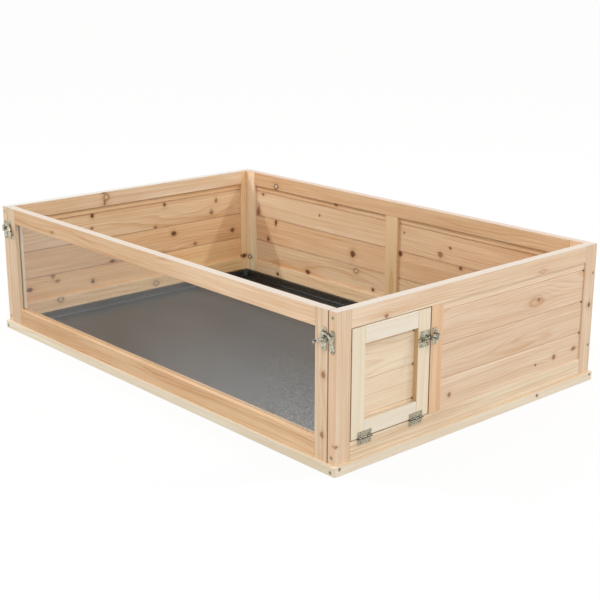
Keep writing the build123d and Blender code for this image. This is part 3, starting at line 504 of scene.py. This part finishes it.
# Painted light: the pane's lowest strip shows a diffuse pale wood colour in place of the groove's shade.
outer = math_node(tree, "LESS_THAN", parts["Z"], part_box("panel_bottom_rail")[1].z + 0.001)
clear = node(tree, "ShaderNodeBsdfTransparent", {"Color": (0.91, 0.915, 0.915, 1)})
haze = node(tree, "ShaderNodeBsdfDiffuse", {"Color": (0.79, 0.83, 0.85, 1)})
edge = node(tree, "ShaderNodeBsdfDiffuse", {"Color": tint(232, 200, 160)})
shine = node(tree, "ShaderNodeBsdfGlossy", {"Color": (1, 1, 1, 1), "Roughness": 0.02})
outside = math_node(tree, "SUBTRACT", 1.0, node(tree, "ShaderNodeNewGeometry").outputs["Backfacing"])
fresnel = math_node(tree, "MULTIPLY", node(tree, "ShaderNodeFresnel", {"IOR": 1.45}).outputs[0], outside)
body = node(tree, "ShaderNodeMixShader", {0: amount, 1: clear.outputs[0], 2: haze.outputs[0]})
body = node(tree, "ShaderNodeMixShader", {0: math_node(tree, "MULTIPLY", outer, 0.75), 1: body.outputs[0],
                                          2: edge.outputs[0]})
whole = node(tree, "ShaderNodeMixShader", {0: fresnel, 1: body.outputs[0], 2: shine.outputs[0]})
node(tree, "ShaderNodeOutputMaterial", {"Surface": whole.outputs[0]})
dress("window_pane", look)

# Side door: a small frame of white sapwood round four slightly darker tongue-and-groove boards, hung on two
# hinges. The inner edge of its rear stile is painted a darker ochre, a painted shade, and where the joints
# between its boards end there, dark marks are painted as the shade in small gaps.
# The front stile's front face, near its outer side, is painted dark: painted shade in the door's gap.
pine("door_front_stile", "ZYX", (241, 227, 201), contrast=0.4,
     face_tints=[((160, 120, 84), 0.8, {"Y": ("low", 0.0008), "X": ("high", 0.003)})])
# The rear stile's inner edge is painted a darker ochre: painted shade.
pine("door_rear_stile", "ZYX", (244, 228, 202), contrast=0.4,
     face_tints=[((200, 160, 104), 0.85, {"Y": ("low", 0.001)})])
pine("door_top_rail", "YZX", (244, 233, 214), contrast=0.4)
# Its top edge is painted darker: painted shade where the door's boards stand on it.
pine("door_bottom_rail", "YZX", (244, 233, 214), contrast=0.4,
     face_tints=[((198, 176, 146), 0.75, {"Z": ("high", 0.0006)})])
# Dark marks where the board joints end at the rear stile: painted shade in small gaps.
door_gaps = [(-0.1752, height, 0.0025, 0.003, "gap") for height in (0.2303, 0.1638, 0.0949)]
pine("door_boards", "YZX", (241, 218, 188), door_gaps, contrast=0.55, seams=(0.094, 0.1615, 0.2289),
     seam_shade=0.03)

# Fittings: hinges, barrel bolt and twist latches, pressed from thin steel and plated with bright nickel, the
# hinges' plain steel pins, and zinc-plated wood screws that hold all of them and join the frames.
def metal(name, colour, darkest, roughness, pressed, pieces, barrel=None):
    """Plated steel with fine scratches, its colour painted patchy down to this share of the full one: a
    painted reflection of the surroundings that polished plate shows. Pressed is how wavy the stamping left
    its faces, in metres. What faces up or down is painted darker, a painted shade that dims its highlights,
    and so is what lies beyond the X where a hinge's barrel starts."""
    look = bpy.data.materials.new(name)
    look.use_nodes = True
    tree = look.node_tree
    shader = tree.nodes["Principled BSDF"]
    place = node(tree, "ShaderNodeTexCoord").outputs["Object"]
    shine_patches = node(tree, "ShaderNodeTexNoise", {"Vector": place, "Scale": 260.0, "Detail": 3.0})
    scratch = node(tree, "ShaderNodeTexNoise", {"Vector": place, "Scale": 2400.0, "Detail": 2.0})
    # The colour is painted patchy, darker in places: a painted reflection of the surroundings.
    patch = node(tree, "ShaderNodeMapRange", {0: shine_patches.outputs[0], 1: 0.36, 2: 0.52}).outputs[0]
    deep = tuple(c * darkest for c in tint(*colour)[:3]) + (1.0,)
    tone = node(tree, "ShaderNodeMix", {0: patch, 6: deep, 7: tint(*colour)}, data_type="RGBA").outputs[2]
    facing = node(tree, "ShaderNodeTexCoord").outputs["Normal"]
    upward = node(tree, "ShaderNodeSeparateXYZ", {0: facing}).outputs["Z"]
    # What faces up or down is painted darker: painted shade that dims the highlights there.
    below = node(tree, "ShaderNodeMapRange", {0: upward, 1: -0.15, 2: -0.6, 3: 0.0, 4: 0.8}).outputs[0]
    above = node(tree, "ShaderNodeMapRange", {0: upward, 1: 0.2, 2: 0.6, 3: 0.0, 4: 0.6}).outputs[0]
    painted_dim = math_node(tree, "MAXIMUM", below, above)
    # A hinge's barrel is painted darker too: painted shade that dims its bright knuckles.
    if barrel:
        along = node(tree, "ShaderNodeSeparateXYZ", {0: place}).outputs["X"]
        barrel_dim = node(tree, "ShaderNodeMapRange", {0: along, 1: barrel, 2: barrel + 0.0006, 3: 0.0, 4: 0.75})
        painted_dim = math_node(tree, "MAXIMUM", painted_dim, barrel_dim.outputs[0])
    tone = node(tree, "ShaderNodeMix", {0: painted_dim, 6: tone, 7: tint(64, 58, 48)}, data_type="RGBA").outputs[2]
    tree.links.new(tone, shader.inputs["Base Color"])
    shader.inputs["Metallic"].default_value = 1.0
    uneven = math_node(tree, "MULTIPLY_ADD", shine_patches.outputs[0], 0.25, roughness)
    tree.links.new(uneven, shader.inputs["Roughness"])
    waves = node(tree, "ShaderNodeTexNoise", {"Vector": place, "Scale": 210.0, "Detail": 1.0})
    bump = node(tree, "ShaderNodeBump", {"Strength": 0.3, "Distance": 0.0001, "Height": scratch.outputs[0]})
    bump = node(tree, "ShaderNodeBump", {"Strength": 1.0, "Distance": pressed, "Height": waves.outputs[0],
                                         "Normal": bump.outputs[0]})
    tree.links.new(bump.outputs[0], shader.inputs["Normal"])
    for piece in pieces:
        dress(piece, look)


hinges = ("frame_hinge_leaves", "door_hinge_leaves")
latches = [f"{side}_latch_{name}" for side in ("left", "right") for name in ("plate", "keeper", "claw")]
screws = ("frame_screws", "hardware_screws", "door_screws", "panel_screws")
metal("nickel", (208, 203, 186), 0.7, 0.16, 0.0003, hinges, barrel=0.5915)
metal("bolt_nickel", (218, 213, 196), 0.3, 0.09, 0.0011, ("bolt_plate", "bolt_keeper", "door_bolt"))
metal("bright_nickel", (224, 219, 202), 0.42, 0.07, 0.0011, latches)
metal("steel", (112, 106, 94), 0.7, 0.3, 0.0, ("hinge_pins",))
metal("zinc", (208, 204, 178), 0.75, 0.25, 0.0, screws)

# Cross recesses: each screw is driven by a cross that is punched into its flat head. Its hollow's shade is
# painted: two thin dark bars stand 0.03 mm proud, turned to where the screw happened to stop.
head_reach, least_head, large_head = 0.006, 3e-6, 2e-5  # metres and square metres
dark = bpy.data.materials.new("recess_shade")
dark.use_nodes = True
dark.node_tree.nodes["Principled BSDF"].inputs["Base Color"].default_value = tint(82, 77, 58)
dark.node_tree.nodes["Principled BSDF"].inputs["Roughness"].default_value = 0.7
for piece in screws:
    tops = []
    for face in frame["nodes"][piece].data.polygons:
        out, area = face.normal.copy(), face.area
        if max(abs(out.x), abs(out.y)) < 0.999 or out.dot(face.center) < 0:
            continue
        for top in tops:
            if top[0].dot(out) > 0.99 and (top[1] / top[2] - face.center).length < head_reach:
                top[1] += face.center * area
                top[2] += area
                break
        else:
            tops.append([out, face.center * area, area])
    turn = random.Random(piece)
    points, faces = [], []
    for out, total, area in tops:
        if area < least_head:
            continue
        reach = math.sqrt(area / math.pi) * (0.5 if area > large_head else 0.7)
        centre, angle = total / area, turn.uniform(0, math.pi / 2)
        side = out.cross(Vector((0, 0, 1)))
        for extra in (0, math.pi / 2):
            along = side * math.cos(angle + extra) + Vector((0, 0, 1)) * math.sin(angle + extra)
            across = out.cross(along) * reach * 0.26
            start = len(points)
            for height in (-0.00004, 0.00003):
                for a, b in ((-1, -1), (1, -1), (1, 1), (-1, 1)):
                    points.append(centre + along * reach * a + across * b + out * height)
            faces += [[start + i for i in face] for face in (
                (3, 2, 1, 0), (4, 5, 6, 7), (0, 1, 5, 4), (1, 2, 6, 5), (2, 3, 7, 6), (3, 0, 4, 7))]
    mesh = bpy.data.meshes.new(piece + "_crosses")
    mesh.from_pydata(points, [], faces)
    mesh.materials.append(dark)
    crosses = bpy.data.objects.new(piece + "_crosses", mesh)
    scene.collection.objects.link(crosses)
    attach(crosses, body_of(frame["nodes"][piece])[0])

# Tray: one moulding in black plastic that lies loose in the run, its rim over the plinth. It has a gloss and
# a fine leathery grain, and pale specks in its colour are painted sparkle of its sheen.
look = bpy.data.materials.new("black_plastic")
look.use_nodes = True
tree = look.node_tree
shader = tree.nodes["Principled BSDF"]
place = node(tree, "ShaderNodeTexCoord").outputs["Object"]
grain = node(tree, "ShaderNodeTexVoronoi", {"Vector": place, "Scale": 420.0})
wave = node(tree, "ShaderNodeTexNoise", {"Vector": place, "Scale": 6.0, "Detail": 0.0})
# Pale specks painted into the black: painted sparkle of the sheen.
speck = node(tree, "ShaderNodeTexNoise", {"Vector": place, "Scale": 260.0, "Detail": 2.0})
speck = node(tree, "ShaderNodeMapRange", {0: speck.outputs[0], 1: 0.48, 2: 0.6}).outputs[0]
speck = node(tree, "ShaderNodeMix", {0: speck, 6: tint(7, 7, 8), 7: tint(48, 50, 51)}, data_type="RGBA")
tree.links.new(speck.outputs[2], shader.inputs["Base Color"])
shader.inputs["IOR"].default_value = 1.52
shader.inputs["Specular Tint"].default_value = (0.87, 0.95, 0.95, 1.0)
tree.links.new(math_node(tree, "MULTIPLY_ADD", wave.outputs[0], 0.14, 0.27), shader.inputs["Roughness"])
fine = node(tree, "ShaderNodeBump", {
    "Strength": 0.6, "Distance": 0.0004, "Height": grain.outputs["Distance"]})
soft = node(tree, "ShaderNodeBump", {"Strength": 0.05, "Distance": 0.004, "Height": wave.outputs[0],
                                     "Normal": fine.outputs[0]})
tree.links.new(soft.outputs[0], shader.inputs["Normal"])
dress("tray", look)
